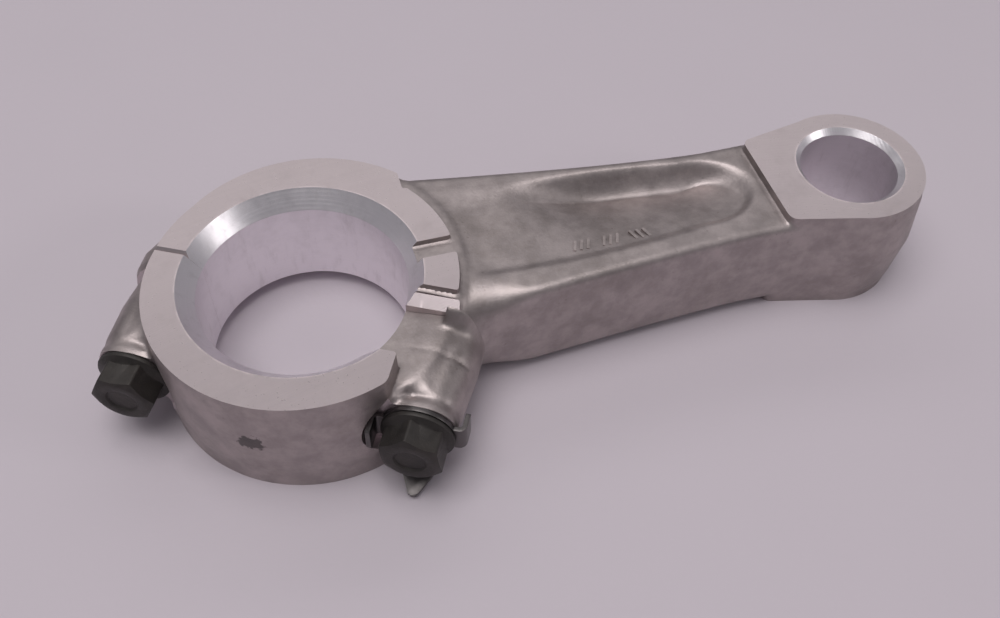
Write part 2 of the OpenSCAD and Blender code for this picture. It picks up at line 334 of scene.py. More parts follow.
def wrap(field, low, high, step):
    """Closed quad mesh of the surface where field is zero: one point in each grid cell that the
    surface crosses, drawn evenly along the surface and set exactly on it."""
    low = np.array(low, float)
    axes = [low[i] + step * np.arange(int((high[i] - low[i]) / step) + 2) for i in range(3)]
    value = field(*np.meshgrid(*axes, indexing="ij"))
    inside = value < 0
    count = sum(inside[tuple(slice(c, c + n - 1) for c, n in zip(corner, inside.shape))]
                .astype(np.int8) for corner in CORNERS)
    mixed = (count > 0) & (count < 8)
    cells = np.argwhere(mixed)
    number = np.full(mixed.shape, -1)
    number[mixed] = np.arange(len(cells))
    total, hits = np.zeros((len(cells), 3)), np.zeros(len(cells))
    for a, b in EDGES:
        va = value[tuple((cells + CORNERS[a]).T)]
        vb = value[tuple((cells + CORNERS[b]).T)]
        cross = (va < 0) != (vb < 0)
        t = np.where(cross, va / np.where(cross, va - vb, 1), 0)[:, None]
        total += cross[:, None] * (cells + CORNERS[a] + t * (CORNERS[b] - CORNERS[a]))
        hits += cross
    points = low + total / hits[:, None] * step
    quads = []
    for axis in range(3):
        e, f = np.eye(3, dtype=int)[(axis + 1) % 3], np.eye(3, dtype=int)[(axis + 2) % 3]
        first = np.take(inside, range(inside.shape[axis] - 1), axis)
        second = np.take(inside, range(1, inside.shape[axis]), axis)
        for found, turn in ((first & ~second, 1), (~first & second, -1)):
            at = np.argwhere(found)
            ring = [number[tuple((at - o).T)] for o in (e + f, f, 0 * e, e)]
            quads.append(np.stack(ring[::turn], axis=1))
    quads = np.concatenate(quads)
    sides = np.concatenate([quads[:, [i, (i + 1) % 4]] for i in range(4)])
    points = onto(field, points, 4)
    for _ in range(3):
        near, degree = np.zeros_like(points), np.bincount(sides[:, 0], minlength=len(points))
        for k in range(3):
            near[:, k] = np.bincount(sides[:, 0], points[sides[:, 1], k], len(points))
        points = 0.5 * points + 0.5 * near / degree[:, None]
        points = onto(field, points, 2)
    return points, quads


# ---------------------------------------------------------------- mesh helpers

def new_object(name, mesh):
    obj = bpy.data.objects.new(name, mesh)
    bpy.context.scene.collection.objects.link(obj)
    return obj


def plain(name, points, faces):
    mesh = bpy.data.meshes.new(name)
    mesh.from_pydata(points.tolist() if hasattr(points, "tolist") else points, [],
                     faces.tolist() if hasattr(faces, "tolist") else faces)
    mesh.validate()
    return new_object(name, mesh)


def drop(obj):
    mesh = obj.data
    bpy.data.objects.remove(obj)
    if mesh and not mesh.users:
        bpy.data.meshes.remove(mesh)


def settle(obj):
    """Turns the object with its modifiers into a plain mesh."""
    bpy.context.view_layer.update()
    graph = bpy.context.evaluated_depsgraph_get()
    mesh = bpy.data.meshes.new_from_object(obj.evaluated_get(graph))
    obj.modifiers.clear()
    old, obj.data = obj.data, mesh
    if not old.users:
        bpy.data.meshes.remove(old)
    return obj


def combine(obj, tool, how):
    """Cuts, joins or trims obj with a tool solid, which is used up."""
    mod = obj.modifiers.new(how, "BOOLEAN")
    mod.operation, mod.solver, mod.object = how, "MANIFOLD", tool
    settle(obj)
    drop(tool)
    if not len(obj.data.polygons):
        raise RuntimeError(f"{obj.name} was lost in a {how.lower()}")
    return obj


def lathe(name, profile, steps=256):
    """Closed solid turned about z from (radius, z) points that start and end on the axis."""
    points, faces = [], []
    inner = profile[1:-1]
    for i in range(steps):
        a = 2 * math.pi * i / steps
        points += [(r * math.cos(a), r * math.sin(a), z) for r, z in inner]
    n = len(inner)
    bottom, top = len(points), len(points) + 1
    points += [(0, 0, profile[0][1]), (0, 0, profile[-1][1])]
    for i in range(steps):
        j = (i + 1) % steps
        faces += [(i * n + k, j * n + k, j * n + k + 1, i * n + k + 1) for k in range(n - 1)]
        faces += [(bottom, j * n, i * n), (top, i * n + n - 1, j * n + n - 1)]
    return plain(name, points, faces)


def block(name, low, high):
    points = [(x, y, z) for x in (low[0], high[0]) for y in (low[1], high[1])
              for z in (low[2], high[2])]
    faces = [(0, 1, 3, 2), (4, 6, 7, 5), (0, 4, 5, 1), (2, 3, 7, 6), (0, 2, 6, 4), (1, 5, 7, 3)]
    return plain(name, points, faces)


def moved(obj, matrix):
    obj.data.transform(matrix)
    if matrix.determinant() < 0:
        obj.data.flip_normals()
    return obj


def screw_matrix(side, w=0.0):
    """Places a shape made about z on a screw's axis, z out of the rod, at height w."""
    place = Vector(ALONG) * side * SCREW_U + Vector(OUT) * w
    turn = Matrix((ALONG, Vector((0, 0, 1)), OUT)).transposed().to_4x4()
    return Matrix.Translation(place) @ turn


def bore_tool(r, wide, deep):
    """Solid that bores a hole of radius r with a chamfer at both mouths."""
    far = HALF + 4
    grow = wide / deep
    lip = r + wide + grow * (far - HALF)
    return [(0, -far), (lip, -far), (r, deep - HALF), (r, HALF - deep), (lip, far), (0, far)]


def paint(obj, rules, rest):
    """Gives each face the material of the first rule that it meets, or else the last one."""
    mesh = obj.data
    n = len(mesh.polygons)
    centre, normal = np.zeros(n * 3), np.zeros(n * 3)
    mesh.polygons.foreach_get("center", centre)
    mesh.polygons.foreach_get("normal", normal)
    centre, normal = centre.reshape(-1, 3), normal.reshape(-1, 3)
    index = np.full(n, len(rules))
    for i in range(len(rules) - 1, -1, -1):
        index[rules[i][1](centre, normal)] = i
    mesh.materials.clear()
    for material in [rule[0] for rule in rules] + [rest]:
        mesh.materials.append(material)
    mesh.polygons.foreach_set("material_index", index.astype(np.int32))


def finish(obj, body, nodes, slot, angle=28):
    """Last steps of every piece: metres, smooth shading with sharp edges, and its place."""
    obj.data.transform(Matrix.Scale(MM, 4))
    obj.data.shade_smooth()
    obj.data.set_sharp_from_angle(angle=math.radians(angle))
    obj.data.update()
    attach(obj, body)
    if nodes:
        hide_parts(*nodes)
    return obj


# ---------------------------------------------------------------- shader building

def put(tree, kind, links=None, **settings):
    """Adds a node; links holds its inputs by name or number, as values or as other sockets."""
    node = tree.nodes.new(kind)
    for key, value in settings.items():
        setattr(node, key, value)
    for key, value in (links or {}).items():
        if isinstance(value, bpy.types.NodeSocket):
            tree.links.new(value, node.inputs[key])
        else:
            node.inputs[key].default_value = value
    return node


def calc(tree, how, a, b=0.0, c=0.0, clamp=False):
    return put(tree, "ShaderNodeMath", {0: a, 1: b, 2: c}, operation=how,
               use_clamp=clamp).outputs[0]


def noise(tree, place, scale, detail=3.0, rough=0.5):
    return put(tree, "ShaderNodeTexNoise", {"Vector": place, "Scale": scale, "Detail": detail,
                                            "Roughness": rough}).outputs["Fac"]


def spread(tree, value, low, high, to_low=0.0, to_high=1.0):
    return put(tree, "ShaderNodeMapRange", {"Value": value, "From Min": low, "From Max": high,
                                            "To Min": to_low, "To Max": to_high},
               interpolation_type="SMOOTHSTEP").outputs[0]


def mix(tree, mask, a, b):
    node = put(tree, "ShaderNodeMix", {"Factor": mask}, data_type="RGBA")
    for socket, value in ((node.inputs[6], a), (node.inputs[7], b)):
        if isinstance(value, bpy.types.NodeSocket):
            tree.links.new(value, socket)
        else:
            socket.default_value = (*value[:3], 1.0)
    return node.outputs[2]


def new_group(name, inputs, outputs):
    """Empty shader group with named inputs (name, kind, default) and float outputs."""
    tree = bpy.data.node_groups.new(name, "ShaderNodeTree")
    for label, kind, default in inputs:
        socket = tree.interface.new_socket(name=label, in_out="INPUT", socket_type=kind)
        socket.default_value = default
    for label in outputs:
        tree.interface.new_socket(name=label, in_out="OUTPUT", socket_type="NodeSocketFloat")
    return tree, tree.nodes.new("NodeGroupInput").outputs, tree.nodes.new("NodeGroupOutput")


FLOAT, VECTOR = "NodeSocketFloat", "NodeSocketVector"


def grain_group():
    """Fine and coarse surface grain of cast or coated metal, and small pits."""
    tree, given, out = new_group("Metal Grain", [
        ("Vector", VECTOR, (0, 0, 0)), ("Grain", FLOAT, 2600.0), ("Pits", FLOAT, 900.0)],
        ["Height", "Pit"])
    fine = noise(tree, given["Vector"], given["Grain"], 4.0, 0.6)
    coarse = noise(tree, given["Vector"], calc(tree, "DIVIDE", given["Grain"], 7.0), 3.0, 0.55)
    cells = put(tree, "ShaderNodeTexVoronoi", {"Vector": given["Vector"], "Scale": given["Pits"]},
                feature="F1").outputs["Distance"]
    pit = spread(tree, cells, 0.07, 0.2, 1.0, 0.0)
    some = spread(tree, noise(tree, given["Vector"], 160.0, 1.0), 0.5, 0.66)
    pit = calc(tree, "MULTIPLY", pit, some)
    height = calc(tree, "MULTIPLY_ADD", coarse, 0.9, fine)
    height = calc(tree, "MULTIPLY_ADD", pit, -0.3, height)
    tree.links.new(height, out.inputs["Height"])
    tree.links.new(pit, out.inputs["Pit"])
    return tree


def stain_group():
    """Uneven film of old oil: broad clouds broken up by smaller ones."""
    tree, given, out = new_group("Oil Film", [
        ("Vector", VECTOR, (0, 0, 0)), ("Size", FLOAT, 70.0), ("Amount", FLOAT, 0.5)], ["Mask"])
    broad = noise(tree, given["Vector"], given["Size"], 4.0, 0.62)
    small = noise(tree, given["Vector"], calc(tree, "MULTIPLY", given["Size"], 6.0), 5.0, 0.7)
    both = calc(tree, "MULTIPLY_ADD", small, 0.55, calc(tree, "MULTIPLY", broad, 0.75))
    edge = calc(tree, "SUBTRACT", 0.95, calc(tree, "MULTIPLY", given["Amount"], 0.6))
    mask = calc(tree, "MULTIPLY", calc(tree, "SUBTRACT", both, edge), 2.6, clamp=True)
    tree.links.new(mask, out.inputs["Mask"])
    return tree


def tool_marks_group():
    """Rings that a cutter leaves about a centre, uneven in depth and broken by noise."""
    tree, given, out = new_group("Tool Marks", [
        ("Vector", VECTOR, (0, 0, 0)), ("Centre", VECTOR, (0, 0, 0)), ("Feed", FLOAT, 0.0004)],
        ["Height", "Streak"])
    away = put(tree, "ShaderNodeVectorMath", {0: given["Vector"], 1: given["Centre"]},
               operation="SUBTRACT").outputs[0]
    flat = put(tree, "ShaderNodeVectorMath", {0: away, 1: (1, 1, 0)}, operation="MULTIPLY")
    far = put(tree, "ShaderNodeVectorMath", {0: flat.outputs[0]}, operation="LENGTH").outputs[1]
    turns = calc(tree, "DIVIDE", far, given["Feed"])
    wobble = noise(tree, given["Vector"], 300.0, 2.0)
    wave = calc(tree, "SINE", calc(tree, "MULTIPLY_ADD", turns, 6.2832, wobble))
    along = put(tree, "ShaderNodeCombineXYZ", {"X": calc(tree, "MULTIPLY", turns, 0.31)})
    uneven = noise(tree, along.outputs[0], 1.0, 4.0, 0.8)
    broken = noise(tree, given["Vector"], 130.0, 2.0)
    height = calc(tree, "MULTIPLY", wave, spread(tree, broken, 0.3, 0.7, 0.15, 0.5))
    tree.links.new(calc(tree, "ADD", height, uneven), out.inputs["Height"])
    tree.links.new(uneven, out.inputs["Streak"])
    return tree


def rim_highlight_group():
    """Thin bright line of painted highlight at a given radius about an axis along z, where a cut
    edge is burnished and catches the light.
    """
    tree, given, out = new_group("Rim Highlight Line", [
        ("Vector", VECTOR, (0, 0, 0)), ("Centre", VECTOR, (0, 0, 0)), ("Radius", FLOAT, 0.02),
        ("Width", FLOAT, 0.0003)], ["Mask"])
    away = put(tree, "ShaderNodeVectorMath", {0: given["Vector"], 1: given["Centre"]},
               operation="SUBTRACT").outputs[0]
    flat = put(tree, "ShaderNodeVectorMath", {0: away, 1: (1, 1, 0)}, operation="MULTIPLY")
    far = put(tree, "ShaderNodeVectorMath", {0: flat.outputs[0]}, operation="LENGTH").outputs[1]
    gap = calc(tree, "ABSOLUTE", calc(tree, "SUBTRACT", far, given["Radius"]))
    near = calc(tree, "SUBTRACT", 1.0, calc(tree, "DIVIDE", gap, given["Width"]), clamp=True)
    worn = spread(tree, noise(tree, given["Vector"], 420.0, 3.0), 0.35, 0.62)
    tree.links.new(calc(tree, "MULTIPLY", near, worn), out.inputs["Mask"])
    return tree


GROUPS = {"grain": grain_group, "stain": stain_group, "marks": tool_marks_group, "rim": rim_highlight_group}
built = {}


def group(tree, name, **inputs):
    """Places a shared group in a material, building it the first time."""
    if name not in built:
        built[name] = GROUPS[name]()
    node = put(tree, "ShaderNodeGroup", node_tree=built[name])
    for key, value in inputs.items():
        if isinstance(value, bpy.types.NodeSocket):
            tree.links.new(value, node.inputs[key])
        else:
            node.inputs[key].default_value = value
    return node.outputs


def new_material(name, metallic, **fixed):
    """Material with a Principled shader; fixed inputs are set on the shader's own sockets."""
    material = bpy.data.materials.new(name)
    material.use_nodes = True
    tree = material.node_tree
    shader = tree.nodes["Principled BSDF"]
    shader.inputs["Metallic"].default_value = metallic
    for key, value in fixed.items():
        shader.inputs[key.replace("_", " ")].default_value = value
    place = tree.nodes.new("ShaderNodeTexCoord").outputs["Object"]
    return material, tree, shader, place


def surface(tree, shader, base, rough, height, depth):
    """Connects colour, roughness and a bump of the given depth, in metres."""
    tree.links.new(base, shader.inputs["Base Color"])
    tree.links.new(rough, shader.inputs["Roughness"])
    bump = put(tree, "ShaderNodeBump", {"Height": height, "Distance": depth, "Strength": 1.0})
    tree.links.new(bump.outputs[0], shader.inputs["Normal"])


def tint(c, k):
    return tuple(min(1.0, v * k) for v in c)


def cast_aluminium(c):
    material, tree, shader, at = new_material("cast_aluminium", 0.9)
    grain = group(tree, "grain", Vector=at, Grain=2300.0, Pits=700.0)
    film = group(tree, "stain", Vector=at, Size=60.0, Amount=0.55)["Mask"]
    cloud = noise(tree, at, 190.0, 4.0, 0.65)
    base = mix(tree, spread(tree, cloud, 0.3, 0.7), tint(c.cast, 0.84), tint(c.cast, 1.16))
    base = mix(tree, calc(tree, "MULTIPLY", film, 0.55), base, c.stain)
    base = mix(tree, calc(tree, "MULTIPLY", grain["Pit"], 0.22), base, tint(c.stain, 0.6))
    away = put(tree, "ShaderNodeVectorMath", {0: at, 1: INK_SPOT},
               operation="DISTANCE").outputs["Value"]
    ragged = calc(tree, "MULTIPLY_ADD", noise(tree, at, 480.0, 3.0, 0.7), 0.006, away)
    ink = spread(tree, ragged, 0.0046, 0.0053, 0.72, 0.0)
    base = mix(tree, ink, base, (0.035, 0.032, 0.034))
    rough = calc(tree, "MULTIPLY_ADD", cloud, 0.12, calc(tree, "MULTIPLY_ADD", film, -0.05, 0.41))
    surface(tree, shader, base, rough, grain["Height"], 0.00004)
    return material


def milled_aluminium(c):
    material, tree, shader, at = new_material("milled_aluminium", 0.9)
    marks = group(tree, "marks", Vector=at, Centre=(0.03, -0.16, 0.0), Feed=0.00042)
    film = group(tree, "stain", Vector=at, Size=95.0, Amount=0.42)["Mask"]
    fine = noise(tree, at, 3200.0, 2.0)
    base = mix(tree, marks["Streak"], tint(c.milled, 0.93), tint(c.milled, 1.07))
    base = mix(tree, calc(tree, "MULTIPLY", film, 0.22), base, c.stain)
    # Painted highlight: the base is brightened in a thin ring at the crank bore's chamfer edge and
    # one on the small end's face, standing in for the light caught by these burnished edges.
    for centre, radius in (((0, 0, 0), (CRANK_R + 2.6) * MM), ((CENTRES * MM, 0, 0), 0.0098)):
        rim_highlight = group(tree, "rim", Vector=at, Centre=centre, Radius=radius, Width=0.00035)["Mask"]
        base = mix(tree, calc(tree, "MULTIPLY", rim_highlight, 0.7), base, tint(c.milled, 1.5))
    rough = calc(tree, "MULTIPLY_ADD", fine, 0.12, calc(tree, "MULTIPLY_ADD", film, 0.08, 0.24))
    height = calc(tree, "MULTIPLY_ADD", fine, 0.15, marks["Height"])
    surface(tree, shader, base, rough, height, 0.000005)
    return material


def turned_aluminium(name, c, base_colour, centre, feed, rough_at):
    """Bored and turned walls: fine rings about the bore, with patchy darker film."""
    material, tree, shader, at = new_material(name, 0.92)
    parts = put(tree, "ShaderNodeSeparateXYZ", {0: at}).outputs
    film = group(tree, "stain", Vector=at, Size=80.0, Amount=0.5)["Mask"]
    lines = put(tree, "ShaderNodeCombineXYZ", {"X": calc(tree, "DIVIDE", parts["Z"], feed)})
    rings = noise(tree, lines.outputs[0], 1.0, 5.0, 0.85)
    marks = group(tree, "marks", Vector=at, Centre=centre, Feed=feed * 1.7)
    stretched = put(tree, "ShaderNodeMapping", {"Vector": at, "Scale": (1.0, 1.0, 0.22)})
    drag = noise(tree, stretched.outputs[0], 520.0, 4.0, 0.7)
    base = mix(tree, rings, tint(base_colour, 0.9), tint(base_colour, 1.1))
    base = mix(tree, spread(tree, drag, 0.52, 0.75, 0.0, 0.13), base, c.stain)
    base = mix(tree, calc(tree, "MULTIPLY", film, 0.2), base, c.stain)
    rough = calc(tree, "MULTIPLY_ADD", drag, 0.18, rough_at)
    height = calc(tree, "MULTIPLY_ADD", marks["Height"], 0.4, rings)
    surface(tree, shader, base, rough, height, 0.000022)
    return material


def phosphate_steel(c):
    material, tree, shader, at = new_material("phosphate_steel", 0.55)
    grain = group(tree, "grain", Vector=at, Grain=3400.0, Pits=1500.0)
    film = group(tree, "stain", Vector=at, Size=150.0, Amount=0.6)["Mask"]
    cloud = noise(tree, at, 700.0, 3.0)
    base = mix(tree, cloud, tint(c.phosphate, 0.75), tint(c.phosphate, 1.5))
    base = mix(tree, calc(tree, "MULTIPLY", film, 0.4), base, (0.075, 0.062, 0.052))
    rough = calc(tree, "MULTIPLY_ADD", film, -0.16, calc(tree, "MULTIPLY_ADD", cloud, 0.16, 0.47))
    surface(tree, shader, base, rough, grain["Height"], 0.00005)
    return material


def plate_steel(c):
    material, tree, shader, at = new_material("plate_steel", 0.95)
    grain = group(tree, "grain", Vector=at, Grain=3000.0, Pits=1100.0)
    film = group(tree, "stain", Vector=at, Size=160.0, Amount=0.45)["Mask"]
    rolled = put(tree, "ShaderNodeMapping", {"Vector": at, "Scale": (1.0, 0.12, 1.0),
                                             "Rotation": (0, 0, 0.5)})
    streak = noise(tree, rolled.outputs[0], 2400.0, 3.0)
    base = mix(tree, streak, tint(c.steel, 0.85), tint(c.steel, 1.15))
    base = mix(tree, calc(tree, "MULTIPLY", film, 0.3), base, c.stain)
    rough = calc(tree, "MULTIPLY_ADD", streak, 0.2, 0.3)
    height = calc(tree, "MULTIPLY_ADD", grain["Height"], 0.35, streak)
    surface(tree, shader, base, rough, height, 0.00002)
    return material


MATERIALS = {
    "cast": cast_aluminium,
    "milled": milled_aluminium,
    "bore": lambda c: turned_aluminium("bored_aluminium", c, c.bore, (0, 0, 0), 0.00028, 0.26),
    "seat": lambda c: turned_aluminium("faced_aluminium", c, c.milled, (0, 0, 0), 0.0003, 0.3),
    "screw": phosphate_steel,
    "plate": plate_steel,
}
made = {}


def material(name):
    if name not in made:
        made[name] = MATERIALS[name](scene_settings().finish)
    return made[name]


# ---------------------------------------------------------------- machining

def beyond_faces(obj):
    """Mills both side faces flat."""
    for sign in (-1, 1):
        z = sorted((sign * HALF, sign * (HALF + 6)))
        combine(obj, block("mill", (-60, -60, z[0]), (130, 60, z[1])), "DIFFERENCE")


def split_block(keep_rod, gap):
    """Block that holds everything on the other side of the split."""
    low, high = ((-90, -60, gap), (90, 60, 90)) if keep_rod else ((-90, -60, -90), (90, 60, gap))
    return moved(block("split", low, high), screw_matrix(0))


def cut_bores(obj, chamfer):
    """Bores the crankpin hole with its chamfers."""
    combine(obj, lathe("crank", bore_tool(CRANK_R, chamfer, CHAMFER_DEPTH), 288), "DIFFERENCE")


def break_edge(rod, u_from, u_to, z, drop, width):
    """Bevels the split's edge at height z on both faces: drop deep, width along the rod."""
    past, top = 0.6, z + 3
    for sign in (-1, 1):
        section = [(past, z - drop - past * drop / width), (past, top), (-width, top), (-width, z)]
        points = [(u, w, sign * h) for u in (u_from, u_to) for w, h in section]
        bar = plain("bevel", points, [(0, 1, 2, 3), (4, 5, 6, 7)] + [
            (i, (i + 1) % 4, 4 + (i + 1) % 4, 4 + i) for i in range(4)])
        turn = Matrix((ALONG, OUT, Vector((0, 0, 1)))).transposed().to_4x4()
        bar.data.transform(turn)
        tidy_normals(bar)
        combine(rod, bar, "DIFFERENCE")


def in_split(points):
    """The points' places in the split's axes, u and w."""
    return points @ np.array(ALONG), points @ np.array(OUT)


def side_face(p, n):
    return (np.abs(p[:, 2]) > HALF - 0.01) & (np.abs(n[:, 2]) > 0.9)


def in_bore(cx, r, wide):
    """Faces of a bore's wall and chamfers."""
    def rule(p, n):
        far = np.hypot(p[:, 0] - cx, p[:, 1])
        toward = -(n[:, 0] * (p[:, 0] - cx) + n[:, 1] * p[:, 1]) / np.maximum(far, 1e-6)
        return (far < r + wide + 0.02) & (far > r - 0.1) & (toward > 0.4)
    return rule


def on_split(w_at):
    def rule(p, n):
        w = in_split(p)[1]
        return (np.abs(w - w_at) < 0.02) & (np.abs(in_split(n)[1]) > 0.9)
    return rule


def on_bevel(z, drop, width):
    def rule(p, n):
        off = np.abs(p[:, 2]) - z + drop + in_split(p)[1] * drop / width
        return (np.abs(off) < 0.02) & (np.abs(n[:, 2]) > 0.4) & (in_split(n)[1] > 0.35)
    return rule


def on_seat(seat):
    def rule(p, n):
        u, w = in_split(p)
        off = np.hypot(np.abs(u) - SCREW_U, p[:, 2])
        return (w > seat - 0.02) & (off < SEAT_R + 0.05)
    return rule


def in_hole(r):
    def rule(p, n):
        u, w = in_split(p)
        return (np.hypot(np.abs(u) - SCREW_U, p[:, 2]) < r + 0.05) & (w > -TAP_TIP - 0.1)
    return rule


# ---------------------------------------------------------------- operators

class BuildRod(bpy.types.Operator):
    """Casts and machines the rod: beam, small end and its half of the big end"""
    bl_idname = "connecting_rod.rod"
    bl_label = "Rod"

    def execute(self, context):
        c = scene_settings().casting
        points, quads = wrap(lambda x, y, z: rod_field(x, y, z, c), (-36, -24, -13.5),
                             (116, 30, 13.5), c.grid / MM)
        rod = plain("rod_body", points, quads)
        beyond_faces(rod)
        combine(rod, split_block(True, 0.0), "DIFFERENCE")
        cut_bores(rod, c.chamfer / MM)
        eye = lathe("wrist", bore_tool(WRIST_R, WRIST_CHAMFER, WRIST_CHAMFER), 192)
        combine(rod, moved(eye, Matrix.Translation((CENTRES, 0, 0))), "DIFFERENCE")
        tap = [(0, -TAP_TIP), (TAP_R, 1.8 - TAP_TIP), (TAP_R, -0.5), (TAP_MOUTH_R, 0.1),
               (TAP_MOUTH_R, 1), (0, 1)]
        for side in (-1, 1):
            combine(rod, moved(lathe("tap", tap, 72), screw_matrix(side)), "DIFFERENCE")
        self.raise_strokes(rod, c)
        break_edge(rod, 10, 40, *NEAR_BEVEL)
        break_edge(rod, -40, -18, *FAR_BEVEL)
        paint(rod, [
            (material("milled"), side_face),
            (material("bore"), in_bore(0, CRANK_R, c.chamfer / MM)),
            (material("bore"), in_bore(CENTRES, WRIST_R, WRIST_CHAMFER)),
            (material("seat"), on_split(0.0)),
            (material("milled"), on_bevel(*NEAR_BEVEL)),
            (material("milled"), on_bevel(*FAR_BEVEL)),
            (material("seat"), in_hole(TAP_MOUTH_R)),
        ], material("cast"))
        finish(rod, "rod", ["rod"], "rod_casting")
        return {"FINISHED"}

    def raise_strokes(self, rod, c):
        """Adds three groups of short cast strokes to the floor of the beam's hollow"""
        for group_x in STROKE_GROUPS:
            lean = Matrix.Rotation(math.radians(STROKE_LEAN * (-1) ** round(group_x)), 4, "Z")
            for i in (-1, 0, 1):
                x, y = group_x + i * STROKE_GAP, STROKE_Y
                z = float(beam_top(np.array([x]), np.array([y]), c)[0])
                stroke = block("stroke", (-0.25, -1.1, -0.5), (0.25, 1.1, 0.28))
                combine(rod, moved(stroke, Matrix.Translation((x, y, z)) @ lean), "UNION")


class BuildCap(bpy.types.Operator):
    """Casts and machines the cap with its screw bosses and seats"""
    bl_idname = "connecting_rod.cap"
    bl_label = "Cap"

    def execute(self, context):
        c = scene_settings().casting
        gap = 0.03
        points, quads = wrap(lambda x, y, z: cap_field(x, y, z, c), (-42, -36, -13.5),
                             (40, 22, 13.5), c.grid / MM)
        cap = plain("cap_body", points, quads)
        beyond_faces(cap)
        combine(cap, split_block(False, gap), "DIFFERENCE")
        cut_bores(cap, c.chamfer / MM)
        seat = c.seat / MM
        hole = [(0, -2), (SHANK_R, -2), (SHANK_R, seat - 0.4), (3.8, seat), (SEAT_R, seat),
                (SEAT_R, seat + 20), (0, seat + 20)]
        for side in (-1, 1):
            combine(cap, moved(lathe("seat", hole, 128), screw_matrix(side)), "DIFFERENCE")
        paint(cap, [
            (material("milled"), side_face),
            (material("bore"), in_bore(0, CRANK_R, c.chamfer / MM)),
            (material("seat"), on_split(gap)),
            (material("seat"), on_seat(seat)),
            (material("seat"), in_hole(SHANK_R)),
        ], material("cast"))
        finish(cap, "cap", ["cap"], "cap_casting")
        return {"FINISHED"}


def socket_id(tree, name):
    return next(s.identifier for s in tree.interface.items_tree
                if s.name == name and s.in_out == "INPUT")


def thread_tree():
    """Geometry Nodes: a rolled screw thread as one closed skin, from a flat grid whose columns go
    round the axis and whose rows go along it."""
    tree = bpy.data.node_groups.new("Screw Thread", "GeometryNodeTree")
    for label, default in (("Crest Radius", 3.1), ("Depth", 0.5), ("Pitch", 0.9),
                           ("Length", 31.0), ("Threaded", 19.0)):
        socket = tree.interface.new_socket(name=label, in_out="INPUT", socket_type=FLOAT)
        socket.default_value = default
    for label, default in (("Columns", 49), ("Rows", 300)):
        socket = tree.interface.new_socket(name=label, in_out="INPUT", socket_type="NodeSocketInt")
        socket.default_value = default
    tree.interface.new_socket(name="Material", in_out="INPUT", socket_type="NodeSocketMaterial")
    tree.interface.new_socket(name="Thread", in_out="OUTPUT", socket_type="NodeSocketGeometry")
    given = tree.nodes.new("NodeGroupInput").outputs
    out = tree.nodes.new("NodeGroupOutput")
    grid = put(tree, "GeometryNodeMeshGrid", {"Size X": 1.0, "Size Y": 1.0,
                                              "Vertices X": given["Columns"],
                                              "Vertices Y": given["Rows"]}).outputs["Mesh"]
    place = put(tree, "ShaderNodeSeparateXYZ",
                {0: put(tree, "GeometryNodeInputPosition").outputs[0]}).outputs
    turn = calc(tree, "ADD", place["X"], 0.5)
    along = calc(tree, "ADD", place["Y"], 0.5)
    height = calc(tree, "MULTIPLY", along, given["Length"])
    phase = calc(tree, "SUBTRACT", calc(tree, "DIVIDE", height, given["Pitch"]), turn)
    tooth = calc(tree, "MULTIPLY", calc(tree, "PINGPONG", phase, 0.5), 2.0)
    tooth = calc(tree, "MULTIPLY", calc(tree, "SUBTRACT", tooth, 0.12), 1.3, clamp=True)
    left = calc(tree, "SUBTRACT", given["Threaded"], height)
    cut = calc(tree, "MULTIPLY", left, 0.6, clamp=True)
    drop_in = calc(tree, "MULTIPLY", calc(tree, "MULTIPLY", tooth, cut), given["Depth"])
    radius = calc(tree, "SUBTRACT", given["Crest Radius"], drop_in)
    cone = calc(tree, "ADD", calc(tree, "SUBTRACT", given["Crest Radius"], 0.75), height)
    radius = calc(tree, "MINIMUM", radius, cone)
    ends = calc(tree, "COMPARE", along, 0.5, 0.4999)
    radius = calc(tree, "MULTIPLY", radius, ends)
    angle = calc(tree, "MULTIPLY", turn, 2 * math.pi)
    spot = put(tree, "ShaderNodeCombineXYZ", {
        "X": calc(tree, "MULTIPLY", radius, calc(tree, "COSINE", angle)),
        "Y": calc(tree, "MULTIPLY", radius, calc(tree, "SINE", angle)), "Z": height})
    skin = put(tree, "GeometryNodeSetPosition", {"Geometry": grid, "Position": spot.outputs[0]})
    merged = put(tree, "GeometryNodeMergeByDistance", {"Geometry": skin.outputs[0],
                                                       "Distance": 0.0005})
    real = put(tree, "GeometryNodeRealizeInstances", {"Geometry": merged.outputs[0]})
    done = put(tree, "GeometryNodeSetMaterial", {"Geometry": real.outputs[0],
                                                 "Material": given["Material"]})
    tree.links.new(done.outputs[0], out.inputs["Thread"])
    return tree


def grown(name, tree, values):
    """Runs a Geometry Nodes tree with the given inputs and returns its result as an object."""
    obj = plain(name, [(0, 0, 0)], [])
    mod = obj.modifiers.new(name, "NODES")
    mod.node_group = tree
    for key, value in values.items():
        mod[socket_id(tree, key)] = value
    settle(obj)
    return obj


def tidy_normals(obj):
    bm = bmesh.new()
    bm.from_mesh(obj.data)
    bmesh.ops.recalc_face_normals(bm, faces=bm.faces)
    bm.to_mesh(obj.data)
    bm.free()


def hexagon(name, across, top):
    """Six-sided bar with slightly rounded corners."""
    bm = bmesh.new()
    bmesh.ops.create_cone(bm, cap_ends=True, segments=6, radius1=across / math.sqrt(3),
                          radius2=across / math.sqrt(3), depth=top)
    bmesh.ops.translate(bm, verts=bm.verts, vec=(0, 0, top / 2))
    upright = [e for e in bm.edges if abs(e.verts[0].co.z - e.verts[1].co.z) > top / 2]
    bmesh.ops.bevel(bm, geom=upright, offset=0.3, segments=4, affect="EDGES", profile=0.5)
    mesh = bpy.data.meshes.new(name)
    bm.to_mesh(mesh)
    bm.free()
    return new_object(name, mesh)


